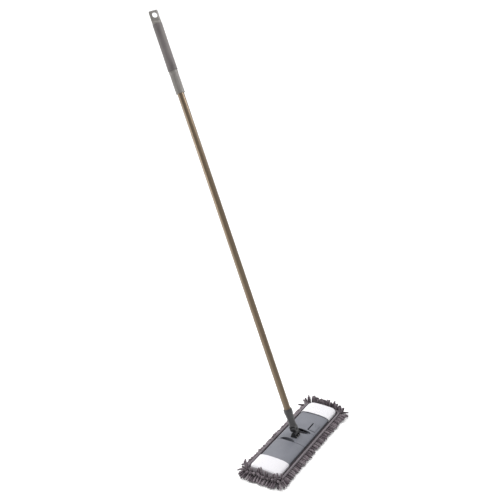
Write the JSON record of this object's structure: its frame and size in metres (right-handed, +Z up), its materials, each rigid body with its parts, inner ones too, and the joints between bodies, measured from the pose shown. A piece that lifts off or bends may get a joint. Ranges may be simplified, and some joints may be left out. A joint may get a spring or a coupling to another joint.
{
  "type": "flat dust mop",
  "caption": "Flat dust mop: a telescopic pole on a two-way swivel above a folding frame, whose wings slip into the end pockets of a chenille pad.",
  "frame": {"origin": "on the floor under the swivel's base pin, in the middle of the pad's underside", "axes": "+X along the frame towards the wing with the pedal, +Y the side the pole leans to, +Z up"},
  "size_m": [0.468, 0.6384, 1.2748],
  "materials": {
    "bronze_tube": "satin",
    "steel": "bright",
    "frame_plastic": "fine grain",
    "black_plastic": "moulded",
    "dark_plastic": "moulded",
    "ferrule_plastic": "moulded",
    "cap_plastic": "moulded",
    "grip_rubber": "soft touch",
    "chenille": "tufted",
    "binding_cloth": "woven",
    "pocket_cloth": "woven"
  },
  "bodies": {
    "upper_pole": {"hang_cap": "cap_plastic", "grip_core": "dark_plastic", "grip_sleeve": "grip_rubber", "inner_tube": "bronze_tube", "inner_tube_guide": "dark_plastic"},
    "lower_pole": {"outer_tube": "bronze_tube", "clamp_bush": "dark_plastic", "thread_plug": "dark_plastic", "ferrule": "ferrule_plastic", "fork_pin": "black_plastic"},
    "twist_lock": {"lock_collar": "cap_plastic"},
    "swivel_link": {"knuckle": "black_plastic"},
    "head": {"centre_block": "frame_plastic", "swivel_bracket": "black_plastic", "bracket_screw_1": "steel", "bracket_screw_2": "steel", "bracket_screw_3": "steel", "bracket_screw_4": "steel", "base_pin": "black_plastic", "far_hinge_pin_left": "steel", "far_hinge_pin_right": "steel", "near_hinge_pin_left": "steel", "near_hinge_pin_right": "steel", "pad_centre": "binding_cloth", "pile_centre": "chenille", "binding_centre_left": "binding_cloth", "binding_centre_right": "binding_cloth"},
    "far_side": {"far_wing": "frame_plastic", "pad_far": "binding_cloth", "pile_far": "chenille", "binding_far": "binding_cloth", "pocket_far": "pocket_cloth", "pedal_pin": "steel", "pedal_spring": "steel"},
    "near_side": {"near_wing": "frame_plastic", "pad_near": "binding_cloth", "pile_near": "chenille", "binding_near": "binding_cloth", "pocket_near": "pocket_cloth"},
    "pedal": {"release_pedal": "frame_plastic"}
  },
  "joints": [
    {"name": "telescope", "type": "slide", "parent": "upper_pole", "child": "lower_pole", "axis": [-0.0671, -0.4058, -0.9115], "range_m": [0, 0.3]},
    {"name": "lock_twist", "type": "hinge", "parent": "lower_pole", "child": "twist_lock", "pos_m": [0.0752, 0.4596, 1.07028], "axis": [0.0671, 0.4058, 0.9115], "range_deg": [0, 90]},
    {"name": "fork_tilt", "type": "hinge", "parent": "lower_pole", "child": "swivel_link", "pos_m": [0, 0.00508, 0.04942], "axis": [0, 0.9135, -0.4067], "range_deg": [-36.15, 43.85]},
    {"name": "base_tilt", "type": "hinge", "parent": "swivel_link", "child": "head", "pos_m": [0, 0, 0.038], "axis": [1, 0, 0], "range_deg": [-94, 46]},
    {"name": "wing_fold_far", "type": "hinge", "parent": "head", "child": "far_side", "pos_m": [0.0352, 0, 0.018], "axis": [0, 1, 0], "range_deg": [0, 80]},
    {"name": "wing_fold_near", "type": "hinge", "parent": "head", "child": "near_side", "pos_m": [-0.0352, 0, 0.018], "axis": [0, -1, 0], "range_deg": [0, 80]},
    {"name": "pedal_press", "type": "hinge", "parent": "far_side", "child": "pedal", "pos_m": [0.059, -0.031, 0.0202], "axis": [0, 1, 0], "range_deg": [0, 6], "stiffness_Nm_per_rad": 0.5, "springref_deg": -11.46, "deforming": ["pedal_spring"]}
  ]
}
